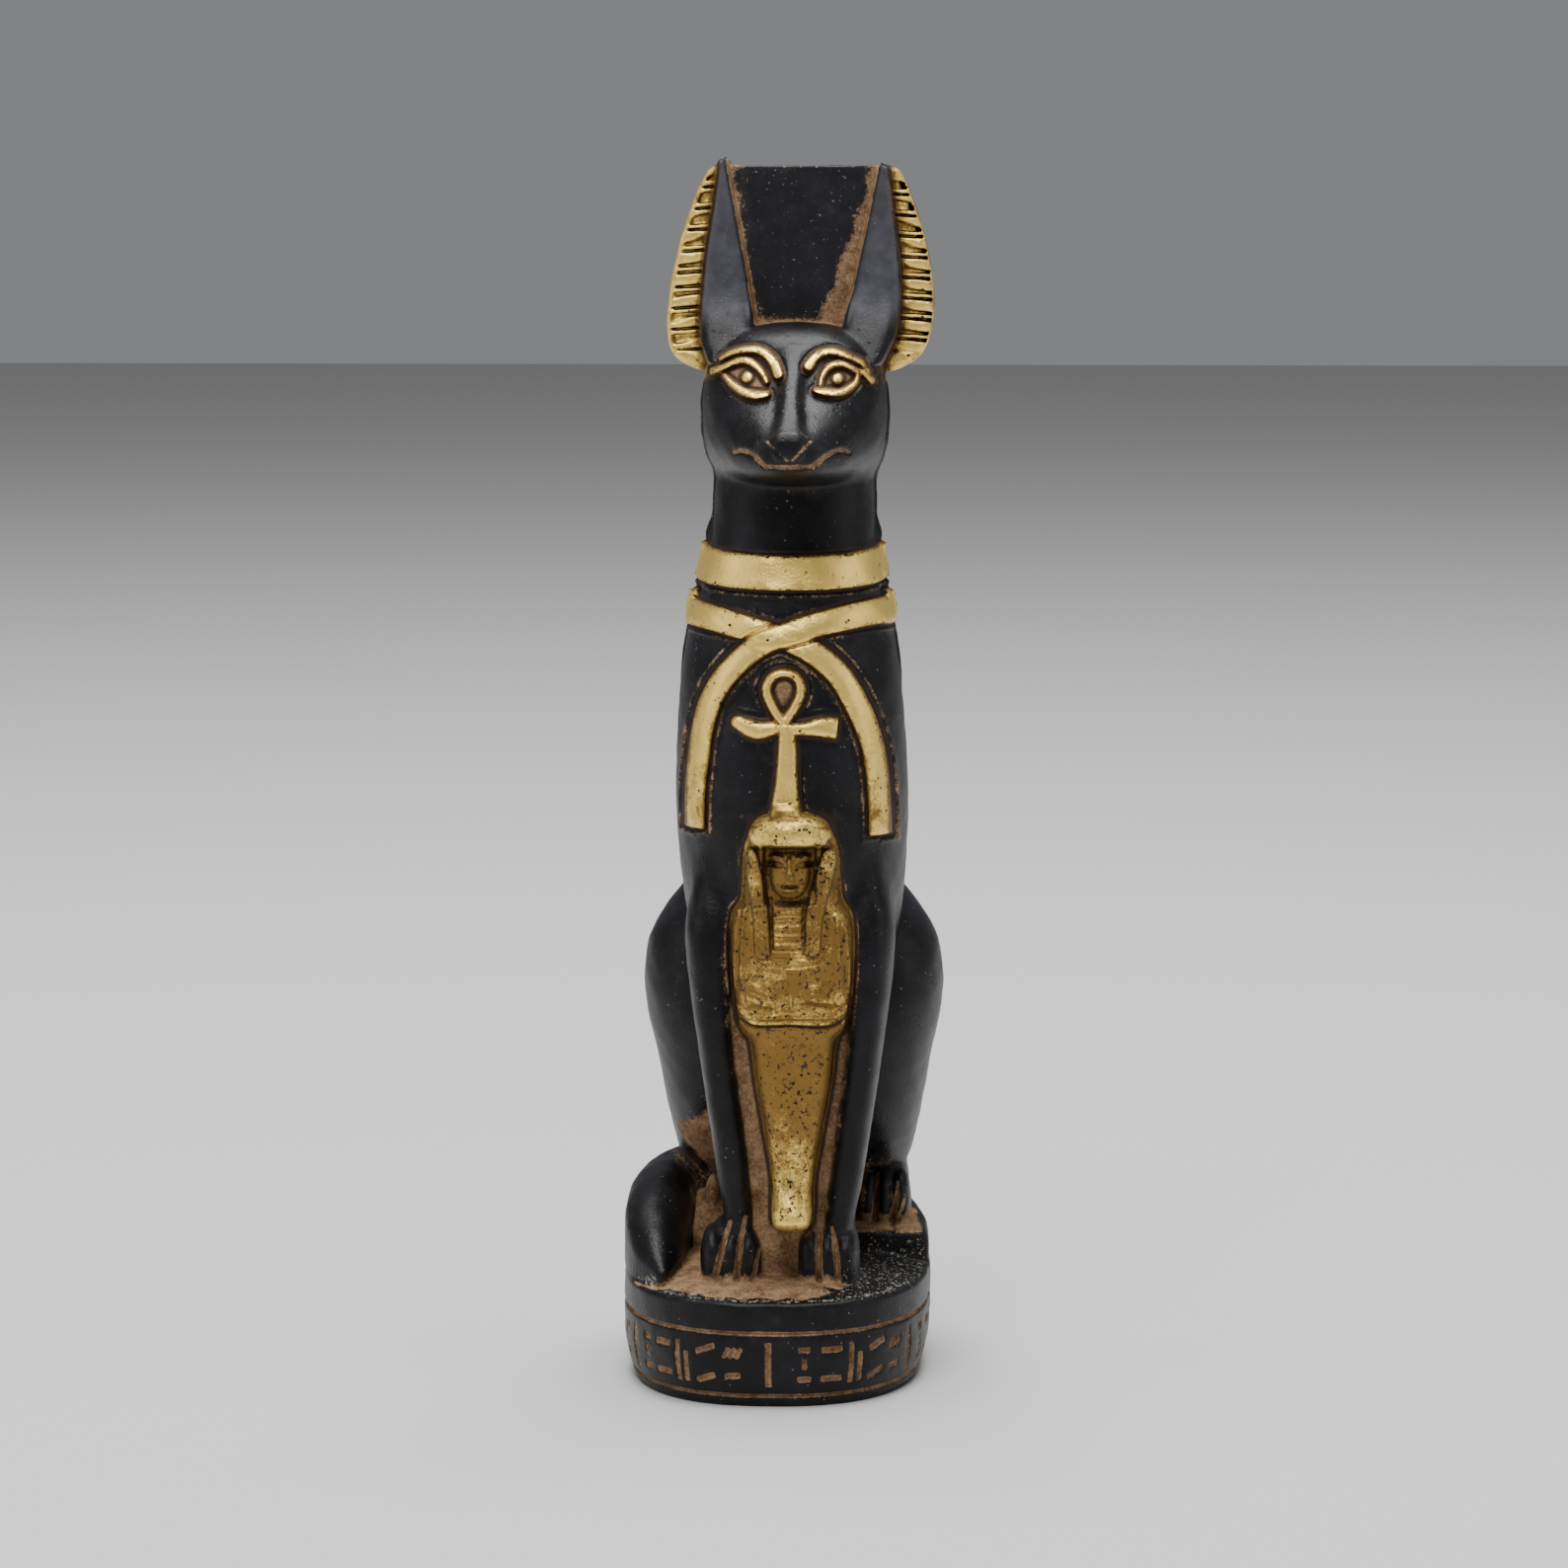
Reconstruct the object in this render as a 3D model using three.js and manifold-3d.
// Seated jackal statue on an oval base, cast in one piece with its tail, its ears and the
// small mummy figure on its front. Millimetres, +Z up, the face looks towards -Y.
// The origin is the middle of the underside.
import * as THREE from "three";
import { mergeVertices } from "three/addons/utils/BufferGeometryUtils.js";
import Module from "manifold-3d";

// Overall
const HEIGHT = 200;
const LEAF_RELIEF = 0.8;

// Base: an oval block with two scribed lines round its wall
const BASE_HALF_WIDTH = 25.3;
const BASE_HALF_LENGTH = 35;
const BASE_SQUARENESS = 2.4;
const BASE_RIM = 17.2;
const BASE_TOP = 18.9;
const BASE_TAPER = 1.7;
const BASE_TAPER_HEIGHT = 8;
const BASE_UPPER_LINE = 12.3;
const BASE_LOWER_LINE = 1.9;
const LINE_HALF_WIDTH = 0.5;
const LINE_DEPTH = 0.55;

// Raised step at the right rear, which carries the hind foot
const STEP_FRONT = -0.5;
const STEP_TOP_FRONT = 22.4;
const STEP_TOP_BACK = 26.5;
const STEP_ROUND = 1.7;

// Head
const NOSE_Y = -35.5;
const EAR_FRONT = -6.5;
const EAR_BACK = 3;
const EAR_ROOT = 8;
const EAR_ROOT_TOP = 180;
const WEB_FRONT = -4;
const WEB_TOP = 199.2;
const RIB_COUNT = 17;
const RIB_DEPTH = 0.8;

// Sideways place of the middle of the figure at each height: the cast leans a little
const LEAN = [[0, 0], [17, 1], [23, 2.2], [30, 2.8], [60, 2.95], [100, 2.55], [125, 2.5],
  [150, 3.2], [166, 3.3], [180, 4.1], [HEIGHT, 4.4]];

const wasm = await Module();
wasm.setup();

// Smooth curve through [at, value] stops, level beyond both ends
function along(stops, at) {
  if (at <= stops[0][0]) return stops[0][1];
  const last = stops.length - 1;
  if (at >= stops[last][0]) return stops[last][1];
  const i = stops.findIndex((stop) => stop[0] > at) - 1;
  const slope = (j) => {
    const a = stops[Math.max(j - 1, 0)];
    const b = stops[Math.min(j + 1, last)];
    return (b[1] - a[1]) / (b[0] - a[0]);
  };
  const [z0, v0] = stops[i];
  const [z1, v1] = stops[i + 1];
  const span = z1 - z0;
  const t = (at - z0) / span;
  const rise = t * t * (3 - 2 * t);
  const enter = t * (1 - t) * (1 - t) * span * slope(i);
  const leave = t * t * (t - 1) * span * slope(i + 1);
  return v0 + (v1 - v0) * rise + enter + leave;
}

const lean = (z) => along(LEAN, z);

// Point of a superellipse; 2 is round and larger powers are squarer
function superellipse(angle, halfX, halfY, power) {
  const c = Math.cos(angle);
  const s = Math.sin(angle);
  const reach = (Math.abs(c) ** power + Math.abs(s) ** power) ** (-1 / power);
  return [halfX * c * reach, halfY * s * reach];
}

// Closed three.js geometry to a solid, with its faces turned outwards
function solidOf(geometry) {
  geometry.deleteAttribute("normal");
  geometry.deleteAttribute("uv");
  const merged = mergeVertices(geometry, 1e-4);
  const points = merged.attributes.position;
  const faces = merged.index.array;
  const triangles = [];
  let volume = 0;
  const a = new THREE.Vector3();
  const b = new THREE.Vector3();
  const c = new THREE.Vector3();
  for (let i = 0; i < faces.length; i += 3) {
    const [p, q, r] = faces.slice(i, i + 3);
    if (p === q || q === r || r === p) continue;
    triangles.push(p, q, r);
    volume += a.fromBufferAttribute(points, p).dot(
      b.fromBufferAttribute(points, q).cross(c.fromBufferAttribute(points, r)));
  }
  if (volume < 0) {
    for (let i = 0; i < triangles.length; i += 3) {
      triangles.splice(i, 2, triangles[i + 1], triangles[i]);
    }
  }
  return new wasm.Manifold(new wasm.Mesh({
    numProp: 3,
    vertProperties: new Float32Array(points.array),
    triVerts: new Uint32Array(triangles),
  }));
}

// Skin of rings: place(t, angle) gives the ring's point, centre(t) the middle of an end cap
function skin(sides, rows, place, centre) {
  const geometry = new THREE.CylinderGeometry(1, 1, 1, sides, rows);
  const points = geometry.attributes.position;
  const p = new THREE.Vector3();
  for (let i = 0; i < points.count; i += 1) {
    p.fromBufferAttribute(points, i);
    const t = p.y + 0.5;
    const middle = Math.hypot(p.x, p.z) < 0.5;
    points.setXYZ(i, ...(middle ? centre(t) : place(t, Math.atan2(p.z, p.x))));
  }
  return solidOf(geometry);
}

// Upright form through level sections, each [z, middle x, half width, front y, back y];
// swell thickens the whole form by that much
function upright(levels, power, sides, rows, swell = 0) {
  const column = (k) => levels.map((level) => [level[0], level[k]]);
  const [middles, halves, fronts, backs] = [1, 2, 3, 4].map(column);
  const bottom = levels[0][0];
  const top = levels[levels.length - 1][0];
  const centre = (t) => {
    const z = bottom + (top - bottom) * t;
    return [along(middles, z), (along(fronts, z) + along(backs, z)) / 2, z];
  };
  const place = (t, angle) => {
    const [x, y, z] = centre(t);
    const deep = (along(backs, z) - along(fronts, z)) / 2;
    const [u, v] = superellipse(angle, along(halves, z) + swell, deep + swell, power);
    return [x + u, y + v, z];
  };
  return skin(sides, rows, place, centre);
}

// Ball with its own half sizes, squared a little by a power above 2
function ball(middle, halves, power = 2, sides = 16, rows = 10) {
  const geometry = new THREE.SphereGeometry(1, sides, rows);
  const points = geometry.attributes.position;
  const p = new THREE.Vector3();
  for (let i = 0; i < points.count; i += 1) {
    p.fromBufferAttribute(points, i);
    const size = Math.abs(p.x) ** power + Math.abs(p.y) ** power + Math.abs(p.z) ** power;
    p.multiplyScalar(size ** (-1 / power));
    points.setXYZ(i, middle[0] + p.x * halves[0], middle[1] + p.y * halves[1],
      middle[2] + p.z * halves[2]);
  }
  return solidOf(geometry);
}

// Plate cut to an outline drawn from the front, in x and z, running from yFront to yBack
function plate(shape, yFront, yBack, curveSegments = 10) {
  const geometry = new THREE.ExtrudeGeometry(shape,
    { depth: yBack - yFront, bevelEnabled: false, curveSegments });
  geometry.applyMatrix4(new THREE.Matrix4().set(
    1, 0, 0, 0,
    0, 0, 1, yFront,
    0, 1, 0, 0,
    0, 0, 0, 1));
  return solidOf(geometry);
}

// Outline of a band that follows [x, z] points, with its half width on both sides
function bandOutline(route, halfWidth, steps = 14) {
  const curve = new THREE.SplineCurve(route.map(([x, z]) => new THREE.Vector2(x, z)));
  const sides = [[], []];
  for (let i = 0; i <= steps; i += 1) {
    const at = curve.getPointAt(i / steps);
    const way = curve.getTangentAt(i / steps);
    const out = new THREE.Vector2(-way.y, way.x).multiplyScalar(halfWidth);
    sides[0].push(at.clone().add(out));
    sides[1].unshift(at.clone().sub(out));
  }
  return new THREE.Shape([...sides[0], ...sides[1]]);
}

const rectangle = (x0, x1, z0, z1) => new THREE.Shape(
  [[x0, z0], [x1, z0], [x1, z1], [x0, z1]].map(([x, z]) => new THREE.Vector2(x, z)));

const joined = (solids) => solids.reduce((all, solid) => all.add(solid));

// How far the base's wall draws in towards the floor
const wallTaper = (z) => BASE_TAPER * Math.max(0, 1 - z / BASE_TAPER_HEIGHT) ** 1.6;

// Base block: each [height, inset] is one level of its wall, up to the domed top
function baseBlock() {
  const line = (z) => [[z - LINE_HALF_WIDTH, 0], [z, LINE_DEPTH], [z + LINE_HALF_WIDTH, 0]];
  const wall = [[0, 0.4], ...line(BASE_LOWER_LINE), [6, 0], ...line(BASE_UPPER_LINE),
    [BASE_RIM - 0.6, 0], [BASE_RIM, 0.7]];
  const levels = wall.map(([z, inset]) => [z, inset + wallTaper(z)]);
  levels.push([BASE_TOP, 9]);
  const level = (t) => levels[Math.round(t * (levels.length - 1))];
  const place = (t, angle) => {
    const [z, inset] = level(t);
    const [x, y] = superellipse(angle, BASE_HALF_WIDTH - inset, BASE_HALF_LENGTH - inset,
      BASE_SQUARENESS);
    return [x, y, z];
  };
  return skin(32, levels.length - 1, place, (t) => [0, 0, level(t)[0]]);
}

// Step at the right rear: the base's own oval, higher, with its rim rounded off
function hindStep() {
  const slope = (STEP_TOP_BACK - STEP_TOP_FRONT) / (BASE_HALF_LENGTH - STEP_FRONT);
  const top = (y) => STEP_TOP_FRONT + slope * (y - STEP_FRONT);
  const low = BASE_RIM - 3;
  // Each level is how far it lies below the sloping top, and how far in from the wall
  const levels = [[null, 0.05], [STEP_ROUND, 0.05], [STEP_ROUND * 0.3, 0.5], [0, STEP_ROUND]];
  const height = ([below], y) => (below === null ? low : top(y) - below);
  const level = (t) => levels[Math.round(t * (levels.length - 1))];
  const place = (t, angle) => {
    const inset = level(t)[1];
    const [x, y] = superellipse(angle, BASE_HALF_WIDTH - inset, BASE_HALF_LENGTH - inset,
      BASE_SQUARENESS);
    return [x, y, height(level(t), y)];
  };
  const whole = skin(32, levels.length - 1, place, (t) => [0, 0, height(level(t), 0)]);
  const rear = plate(rectangle(0, 40, 0, 60), STEP_FRONT, 60);
  return whole.intersect(rear);
}

// Trunk from inside the base up into the head: [z, half width, front y, back y]
const TRUNK = [
  [15, 9.5, -14, 30], [30, 10.5, -15.5, 33], [45, 12, -17, 32], [60, 14.5, -19.5, 29.5],
  [72, 16.8, -24, 26.5], [80, 18.1, -25.8, 24], [88, 18.8, -26.4, 21.5], [96, 19.1, -26.4, 19],
  [105, 18.8, -25.8, 16.5], [115, 18.1, -24.2, 14], [125, 16.6, -21.8, 11.5],
  [133, 14.2, -19.6, 9.3], [140, 13.3, -18.4, 8], [152, 12.8, -17, 7]];
const TRUNK_SQUARENESS = 2.25;
const trunk = (swell) => upright(
  TRUNK.map(([z, half, front, back]) => [z, lean(z), half, front, back]),
  TRUNK_SQUARENESS, 22, 14, swell);

// Foreleg: [z, distance out from the middle, half width, front y, back y]
const FORELEG = [
  [21, 8, 2.9, -22.5, -11], [28, 8.1, 2.6, -23, -12], [34, 8.9, 2.85, -23.6, -12],
  [42, 9.9, 3, -24, -11.5], [50, 11, 3.1, -24.5, -11], [59, 12.1, 3.3, -25, -10],
  [68, 12.6, 4, -25.1, -9], [77, 12.4, 4.6, -24.4, -8], [90, 10, 4, -19.5, -7]];

// Middle of the front paws, how far out each one stands, and its three toes
const PAWS_MIDDLE = 1.25;
const PAW_OUT = 7.95;
const TOE_PITCH = 3;
const TOE = [1.9, 6.4, 5];

// Panel left standing between the forelegs, a little behind them: [z, half width, front y]
const PANEL = [[17, 8, -19.5], [30, 8.3, -20.8], [45, 10.2, -22], [60, 12, -23.2],
  [72, 12.6, -23.8], [77, 12.6, -22]];
const panel = () => upright(
  PANEL.map(([z, half, front]) => [z, lean(z), half, front, -8]), 4, 8, 5);

function foreleg(side) {
  const levels = FORELEG.map(([z, out, half, front, back]) =>
    [z, lean(z) + side * out, half, front, back]);
  const paw = PAWS_MIDDLE + side * PAW_OUT;
  const toes = [-1, 0, 1].map((step) =>
    ball([paw + step * TOE_PITCH, -18.6, 21.6], TOE, 2.5, 8, 5));
  const instep = ball([paw, -15.5, 22.5], [4.3, 6, 5.6], 2, 10, 5);
  return joined([upright(levels, 2.6, 10, 7), instep, ...toes]);
}

// Haunch: [z, outer half width, front y, back y]
const HAUNCH = [
  [17, 17, 9, 31], [29, 18.3, 10, 32.5], [33, 19.7, 8, 33], [37, 20.6, 4, 33],
  [43.5, 21.8, -1, 32.5], [51, 23.1, -4, 32], [57, 24.4, -5.5, 31], [63.5, 25.1, -5.2, 29],
  [70, 24.3, -3.6, 26.5], [73.6, 22.7, -1.5, 24.5], [78, 19.6, 3, 21], [82, 16, 8, 17]];
const HAUNCH_MIDDLE = 11;
const HAUNCH_SHIFT = -0.7;

function haunch(side) {
  const levels = HAUNCH.map(([z, outer, front, back]) =>
    [z, lean(z) + HAUNCH_SHIFT + side * HAUNCH_MIDDLE, outer - HAUNCH_MIDDLE, front, back]);
  return upright(levels, 2.3, 16, 12);
}

// Right hind foot: a long foot on the step with three toes in front
const HIND_FOOT_MIDDLE = 17.6;
const HIND_TOE_PITCH = 2.7;

function hindFoot() {
  const floor = STEP_TOP_FRONT + 0.3;
  const toes = [-1, 0, 1].map((step) => ball(
    [HIND_FOOT_MIDDLE + step * HIND_TOE_PITCH, 9.6, floor + 3], [1.6, 5.2, 5.4], 2.4, 8, 4));
  return joined([ball([HIND_FOOT_MIDDLE - 0.2, 18, floor + 4], [4.2, 12, 6.6], 2.4, 10, 5),
    ...toes]);
}

// Left hind foot: a plain mound, closed in by the tail
const leftMound = () => ball([lean(22) - 13.6, 15, 20], [6.4, 16, 8], 2.2, 10, 6);

// Tail: lies forward along the left edge of the base; [x, y, z, radius] from root to tip
const TAIL = [
  [3, 33, 36, 3.6], [-8, 31, 29.5, 4.6], [-17.5, 22, 26.8, 5.4], [-19.7, 11, 26, 5.7],
  [-20, 1, 25.2, 5.7], [-20.3, -7, 23.3, 5.3], [-19.2, -15.5, 20.8, 3.9], [-17.9, -22.5, 19.2, 1.2]];

function tail() {
  const route = new THREE.CatmullRomCurve3(TAIL.map(([x, y, z]) => new THREE.Vector3(x, y, z)));
  const radii = TAIL.map(([, , , radius], i) => [i / (TAIL.length - 1), radius]);
  const place = (t, angle) => {
    const at = route.getPoint(t);
    const way = route.getTangent(t);
    const across = new THREE.Vector3(-way.y, way.x, 0).normalize();
    const up = way.clone().cross(across).multiplyScalar(-1);
    const radius = along(radii, t);
    const [out, rise] = superellipse(angle, radius, radius, Math.sin(angle) < 0 ? 6 : 2);
    return at.addScaledVector(across, out).addScaledVector(up, rise).toArray();
  };
  const whole = skin(10, 11, place, (t) => route.getPoint(t).toArray());
  const wall = upright([[10, 0, BASE_HALF_WIDTH, -BASE_HALF_LENGTH, BASE_HALF_LENGTH],
    [40, 0, BASE_HALF_WIDTH, -BASE_HALF_LENGTH, BASE_HALF_LENGTH]], BASE_SQUARENESS, 56, 1);
  return whole.intersect(wall);
}

// Head, back to front: [y, half width, top z, bottom z], then the nose ridge on top of it
const SKULL = [
  [7.5, 10.5, 168, 149], [3, 13.2, 172.5, 146], [-3, 14.9, 173.8, 145], [-9, 15, 173.6, 145.5],
  [-14, 14.3, 172, 147], [-18, 13.2, 168.5, 148], [-22, 11.4, 164.3, 148.6],
  [-27, 9, 160.4, 149.1], [-31.5, 6, 157.6, 150], [-34, 4, 156.6, 151.2],
  [-34.9, 2.6, 155.6, 152.4]];
const RIDGE = [[-16, 2.4, 170, 160], [-20, 2.1, 167.2, 158], [-26, 1.9, 162.8, 155],
  [-32, 2.3, 158.8, 152.5], [NOSE_Y, 2.4, 156.8, 153.2]];

// Form that runs from front to back through upright sections
function lengthwise(sections, power, sides, rows) {
  const column = (k) => sections.map((section) => [-section[0], section[k]]);
  const [halves, tops, bottoms] = [1, 2, 3].map(column);
  const back = -sections[0][0];
  const front = -sections[sections.length - 1][0];
  const centre = (t) => {
    const s = back + (front - back) * t;
    const z = (along(tops, s) + along(bottoms, s)) / 2;
    return [lean(z), -s, z];
  };
  const place = (t, angle) => {
    const [x, y, z] = centre(t);
    const tall = (along(tops, -y) - along(bottoms, -y)) / 2;
    const [u, v] = superellipse(angle, along(halves, -y), tall, power);
    return [x + u, y, z + v];
  };
  return skin(sides, rows, place, centre);
}

// Almond outline between two corners, each [x, z], bulging up and down by its own height
function almond(corners, up, down) {
  const [[x0, z0], [x1, z1]] = corners;
  const shape = new THREE.Shape();
  shape.moveTo(x0, z0);
  shape.quadraticCurveTo((x0 + x1) / 2, (z0 + z1) / 2 + 2 * up, x1, z1);
  shape.quadraticCurveTo((x0 + x1) / 2, (z0 + z1) / 2 - 2 * down, x0, z0);
  return shape;
}

function head() {
  const skull = lengthwise(SKULL, 2.7, 18, 11);
  const raised = (shape, height) => skull.translate([0, -height, height * 0.4])
    .intersect(plate(shape, -40, -8, 5));
  const middle = lean(165);
  const features = [lengthwise(RIDGE, 3, 10, 5)];
  for (const side of [-1, 1]) {
    const eye = almond([[middle + side * 3.6, 162.6], [middle + side * 12.6, 166.2]], 2.2, 1.7);
    const brow = bandOutline([[middle + side * 2.1, 166.3], [middle + side * 3.6, 168.4],
      [middle + side * 7, 170.2], [middle + side * 12.4, 168.6]], 0.75, 5);
    features.push(raised(eye, LEAF_RELIEF), raised(brow, LEAF_RELIEF));
  }
  const lips = bandOutline([[middle - 9.2, 153.8], [middle - 6, 153.3], [middle - 3.6, 151.6],
    [middle + 3.6, 151.6], [middle + 6, 153.3], [middle + 9.2, 153.8]], 0.35, 8);
  const mouth = plate(lips, -40, -24).subtract(skull.translate([0, 0.7, 0]));
  return joined([skull, ...features]).subtract(mouth);
}

// Ears: how far the fringe, the face and the inner edge stand out at each height
const EAR_OUTER = [[165.6, 15.2], [167, 18.4], [168.6, 20.2], [171.5, 21.4], [176.5, 21.7],
  [184, 20.7], [192, 18.4], [198, 15.8], [199.6, 14]];
const EAR_FACE = [[167.3, 14.2], [171.5, 15.9], [177, 16.3], [184, 15.9], [191, 14.9],
  [198, 13.9]];
const EAR_INNER = [[160, 6.4], [173, 7.1], [181, 8.6], [188.5, 10.1], [199.6, 12.2]];

// Outline between an outer and an inner run of edge points
function earOutline(side, outer, inner, top) {
  const count = 9;
  const low = outer[0][0];
  const middle = (z) => Math.max(lean(z), 3.3);
  const edge = (stops, i) => {
    const z = low + (top - low) * (i / count);
    return new THREE.Vector2(middle(z) + side * along(stops, z), z);
  };
  const run = Array.from({ length: count + 1 }, (_, i) => i);
  return new THREE.Shape([...run.map((i) => edge(outer, i)),
    ...run.map((i) => edge(inner, count - i))]);
}

// One ear: a thin rim with slots cut in its fringe, and the smooth face that stands proud of
// it and swells forward at its root into the top of the head
function ear(side) {
  const tip = side < 0 ? HEIGHT : HEIGHT - 0.9;
  const rim = plate(earOutline(side, EAR_OUTER, EAR_INNER, tip), EAR_FRONT + 1.5, EAR_BACK);
  const root = (z) => EAR_ROOT * Math.min(1, Math.max(0, (EAR_ROOT_TOP - z) / 12)) ** 1.5;
  const face = upright([...EAR_FACE.map(([z]) => z), tip].map((z) => {
    const outer = along(EAR_FACE, z);
    const inner = along(EAR_INNER, z);
    return [z, lean(z) + side * (outer + inner) / 2, (outer - inner) / 2,
      EAR_FRONT - root(z), EAR_BACK];
  }), 7, 8, 9);
  const low = EAR_OUTER[0][0] + 3;
  const pitch = (tip - 3 - low) / RIB_COUNT;
  let fringe = rim;
  for (let i = 0; i < RIB_COUNT; i += 1) {
    const z = low + pitch * (i + 0.5);
    const inner = lean(z) + side * (along(EAR_FACE, z) + 0.6);
    const outer = lean(z) + side * (along(EAR_OUTER, z) + 2);
    const slot = plate(rectangle(Math.min(inner, outer), Math.max(inner, outer),
      z - pitch * 0.22, z + pitch * 0.22), EAR_FRONT, EAR_FRONT + 1.5 + RIB_DEPTH);
    fringe = fringe.subtract(slot);
  }
  return fringe.add(face);
}

// Flat panel left standing between the ears
function earWeb() {
  const low = 165;
  const half = (z) => along(EAR_INNER, z) + 1;
  const corners = [[-1, low], [1, low], [1, WEB_TOP], [-1, WEB_TOP]];
  const shape = new THREE.Shape(corners.map(([side, z]) =>
    new THREE.Vector2(lean(z) + side * half(z), z)));
  return plate(shape, WEB_FRONT, EAR_BACK - 1.5);
}

// Collar: a slightly tilted ring round the neck that flares downwards
const COLLAR_LOW = 131.2;
const COLLAR_HEIGHT = 5.6;

function collar() {
  const tilt = (y) => 0.09 * (y + 20);
  const trunkAt = (k, z) => along(TRUNK.map((level) => [level[0], level[k]]), z);
  const place = (t, angle) => {
    const flare = LEAF_RELIEF + 0.15 + (1 - t) * 0.5;
    const z = COLLAR_LOW + COLLAR_HEIGHT * t;
    const [half, front, back] = [1, 2, 3].map((k) => trunkAt(k, z));
    const [x, y] = superellipse(angle, half + flare, (back - front) / 2 + flare, TRUNK_SQUARENESS);
    const middle = (front + back) / 2;
    return [lean(z) + x, middle + y, z + tilt(middle + y)];
  };
  const centre = (t) => [lean(COLLAR_LOW), -5, COLLAR_LOW + COLLAR_HEIGHT * t + tilt(-5)];
  return skin(26, 1, place, centre);
}

// Sash: two strips that cross on the chest and hang down, and pass round behind the neck.
// Each route is [x from the leaning middle, z] along the strip's middle line.
const SASH_HALF_WIDTH = 1.95;
const SASH_ROUTES = [
  [[-19, 126.7], [-11.6, 126.3], [-4.5, 124.6], [2.1, 122.6], [7, 119.2], [10.4, 114.6],
    [12.9, 109.2], [14.4, 102], [14.8, 91.6]],
  [[19, 127], [14.5, 127.4], [10.4, 126.9], [5.7, 126], [-1.5, 123.8], [-5.6, 121.7],
    [-9.3, 118.2], [-12.2, 113.2], [-14.2, 105.6], [-15.2, 92.6]]];

function sash() {
  const shell = trunk(LEAF_RELIEF);
  const front = SASH_ROUTES.map((route) => {
    const strip = bandOutline(route.map(([out, z]) => [lean(z) + out, z]), SASH_HALF_WIDTH, 12);
    return shell.intersect(plate(strip, -40, -6));
  });
  const behind = shell.intersect(plate(rectangle(-25, 30, 126, 130.4), -7, 20));
  return joined([...front, behind]);
}

// Looped cross below the crossing of the sash
function loopedCross() {
  const shell = trunk(LEAF_RELIEF + 0.4);
  const middle = lean(110) + 0.2;
  const outline = new THREE.Shape();
  outline.moveTo(middle - 3.6, 95);
  outline.lineTo(middle - 1.6, 105);
  outline.lineTo(middle - 1.7, 107.6);
  outline.lineTo(middle - 7.8, 107);
  outline.lineTo(middle - 7.8, 111.2);
  outline.lineTo(middle - 1.7, 110.4);
  outline.quadraticCurveTo(middle - 4.6, 113, middle - 4.1, 115.4);
  outline.quadraticCurveTo(middle - 3.2, 118.7, middle, 118.8);
  outline.quadraticCurveTo(middle + 3.2, 118.7, middle + 4.1, 115.4);
  outline.quadraticCurveTo(middle + 4.6, 113, middle + 1.7, 110.4);
  outline.lineTo(middle + 7.8, 111.2);
  outline.lineTo(middle + 7.8, 107);
  outline.lineTo(middle + 1.7, 107.6);
  outline.lineTo(middle + 1.6, 105);
  outline.lineTo(middle + 3.6, 95);
  const hole = new THREE.Path();
  hole.moveTo(middle, 111);
  hole.quadraticCurveTo(middle + 3, 114.5, middle + 1.9, 116.2);
  hole.quadraticCurveTo(middle, 118, middle - 1.9, 116.2);
  hole.quadraticCurveTo(middle - 3, 114.5, middle, 111);
  outline.holes.push(hole);
  return shell.intersect(plate(outline, -40, -10, 5));
}

// Mummy figure: [z, half width, front y] from its feet to the top of its wig
const MUMMY = [
  [27.5, 2.9, -27.5], [29, 3, -28.4], [33.4, 3.3, -28.4], [35, 3.2, -27.4], [43.7, 4.6, -27.4],
  [51.8, 6, -28], [58.6, 6.9, -28.4], [60.2, 8.2, -28.8], [62, 8.8, -29.3], [71, 9.8, -29.6],
  [78.8, 9.5, -29.4], [81.5, 8, -29.2], [84, 7.7, -29.2], [90.3, 7.2, -29.4], [94, 5.4, -29],
  [95.6, 3, -28]];

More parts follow.
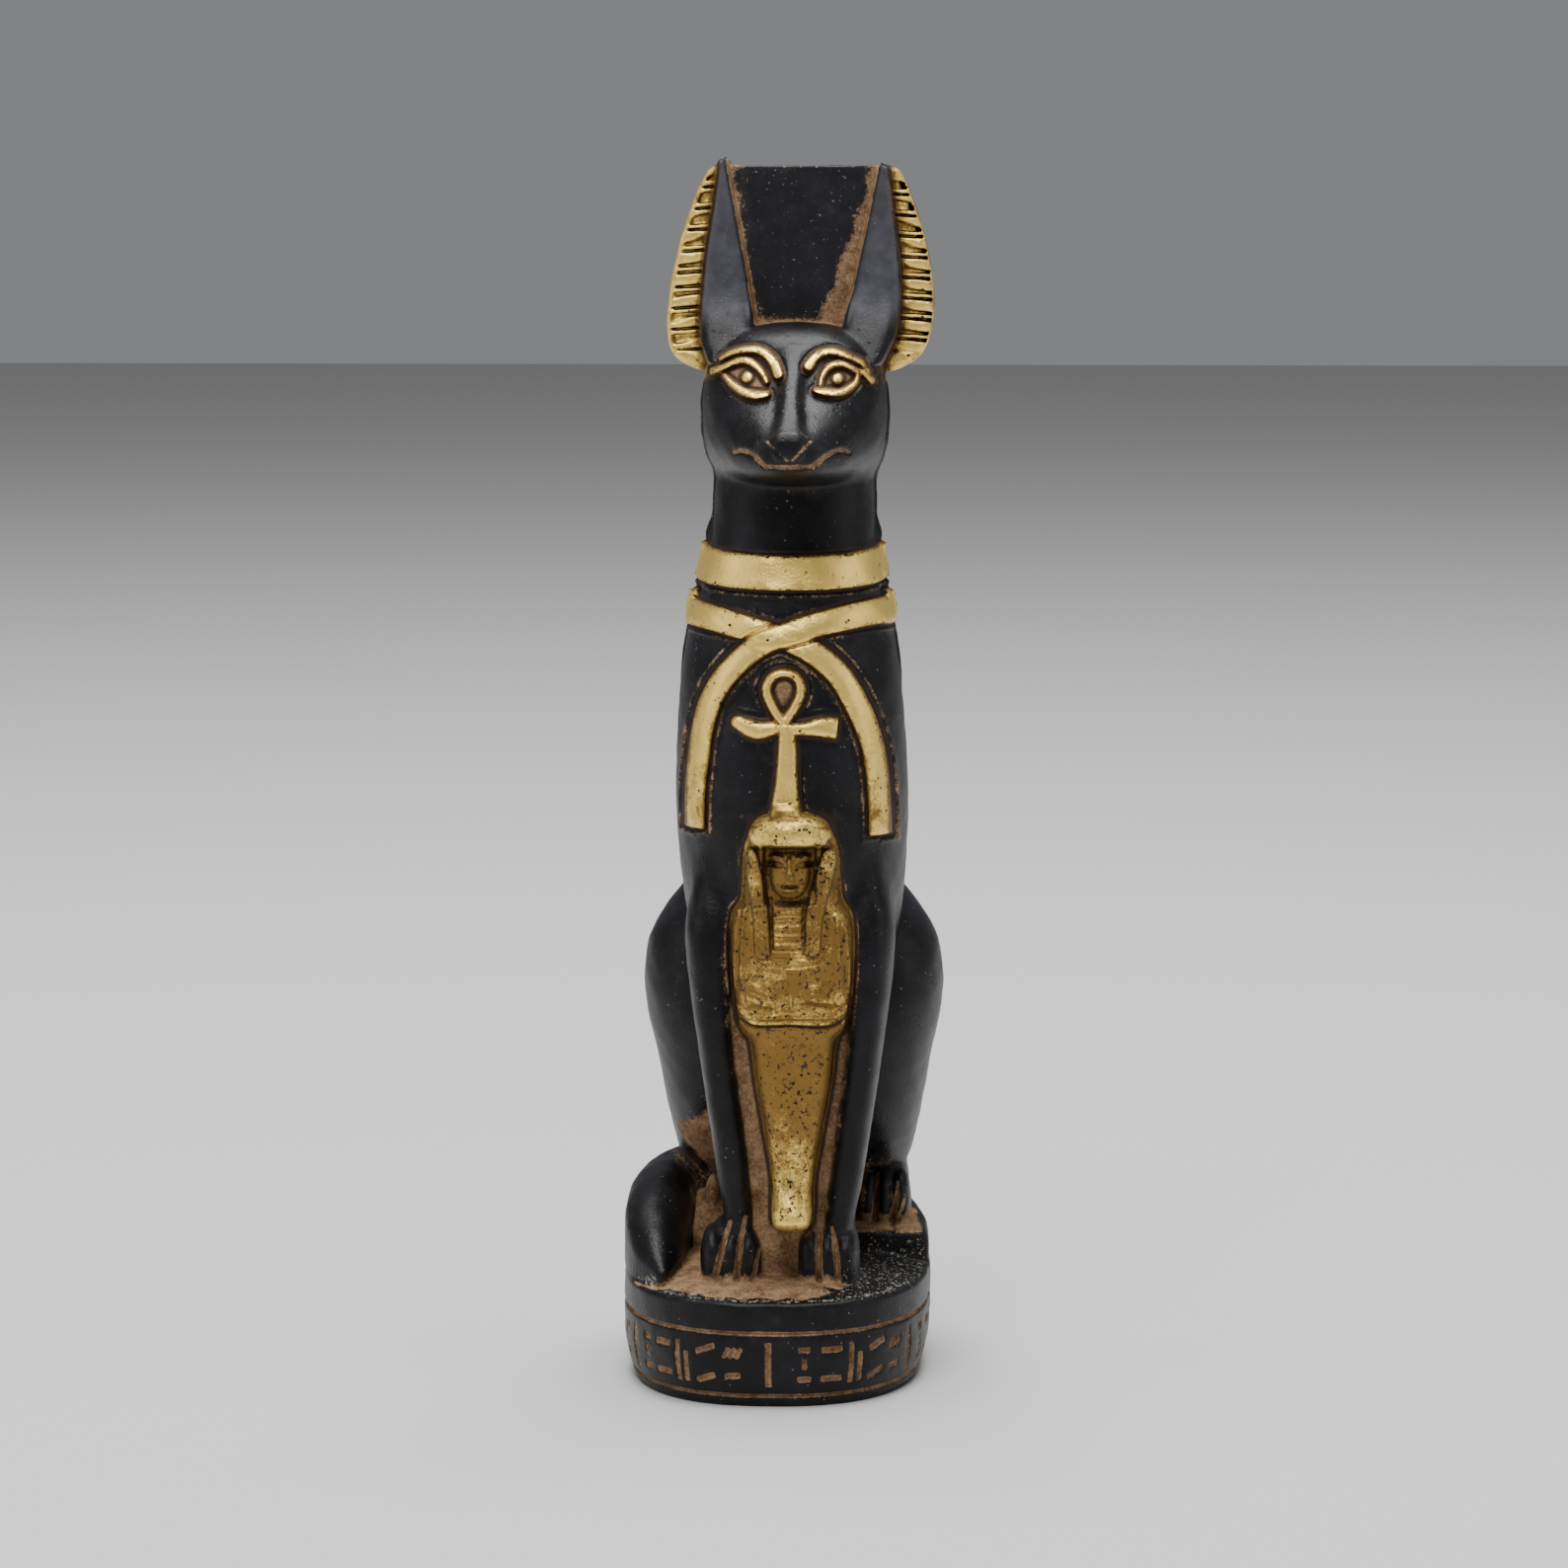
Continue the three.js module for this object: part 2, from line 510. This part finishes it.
function mummy() {
  const middle = (z) => lean(z) + 0.6;
  const figureBody = (swell) => upright(
    MUMMY.map(([z, half, front]) => [z, middle(z), half, front, -17]), 3, 10, 14, swell);
  const raised = (shape, height) => figureBody(height).intersect(plate(shape, -40, -26, 5));
  const strip = (side, route, halfWidth) => bandOutline(
    route.map(([out, z]) => [middle(z) + side * out, z]), halfWidth, 4);
  const details = [raised(almond([[middle(89) - 6, 89.5], [middle(89) + 6, 89.5]], 3, 1), 0.5),
    ball([middle(86), -28.2, 86], [3.3, 2.4, 4], 2, 8, 6)];
  for (const side of [-1, 1]) {
    details.push(raised(strip(side, [[4.4, 73.4], [5, 80], [5.8, 88]], 1.5), 0.9));
    details.push(raised(strip(side, [[8.2, 60.8], [9.1, 70], [8.6, 80]], 1.1), 0.6));
    details.push(ball([middle(66) + side * 4.6, -28.9, 66], [2.5, 1.5, 1.9], 2, 7, 4));
  }
  return joined([figureBody(0), ...details]);
}

// Rows of plain upright, level and slanting strokes cut in the band round the base
const STROKE_GROUPS = 18;
const STROKE_DEPTH = 0.5;

function bandStrokes() {
  const strokes = [];
  const low = BASE_LOWER_LINE + 1.6;
  const high = BASE_UPPER_LINE - 1.6;
  const wallPoint = (angle, z) => superellipse(angle, BASE_HALF_WIDTH - wallTaper(z),
    BASE_HALF_LENGTH - wallTaper(z), BASE_SQUARENESS);
  for (let i = 0; i < STROKE_GROUPS; i += 1) {
    const angle = (2 * Math.PI * i) / STROKE_GROUPS - Math.PI / 2;
    const standing = i % 3 === 0;
    const [wide, tall] = standing ? [0.8, high - low] : [3.4, 0.8];
    const heights = standing ? [(low + high) / 2] : [low + 1.2, high - 1.2];
    for (const z of heights) {
      const [x, y] = wallPoint(angle, z);
      const [ahead, beyond] = wallPoint(angle + 0.01, z);
      const stroke = new THREE.BoxGeometry(wide, 2 * STROKE_DEPTH, tall);
      stroke.rotateY(i % 3 === 2 ? 0.35 : 0);
      stroke.rotateZ(Math.atan2(beyond - y, ahead - x));
      strokes.push(solidOf(stroke.translate(x, y, z)));
    }
  }
  return strokes;
}

const figure = joined([baseBlock(), hindStep(), trunk(0), panel(), foreleg(-1), foreleg(1),
  haunch(-1), haunch(1), hindFoot(), leftMound(), tail(), head(), ear(-1), ear(1), earWeb(),
  collar(), sash(), loopedCross(), mummy()]);
const statue = bandStrokes().reduce((body, stroke) => body.subtract(stroke), figure);

const mesh = statue.getMesh();
const geometry = new THREE.BufferGeometry();
geometry.setAttribute("position", new THREE.BufferAttribute(mesh.vertProperties, 3));
geometry.setIndex(new THREE.BufferAttribute(mesh.triVerts, 1));
geometry.computeVertexNormals();

const stone = new THREE.MeshStandardMaterial({ color: 0x24262b, roughness: 0.55, metalness: 0 });
const statueMesh = new THREE.Mesh(geometry, stone);
statueMesh.name = "anubis_statue";

const group = new THREE.Group();
group.add(statueMesh);

export default group;
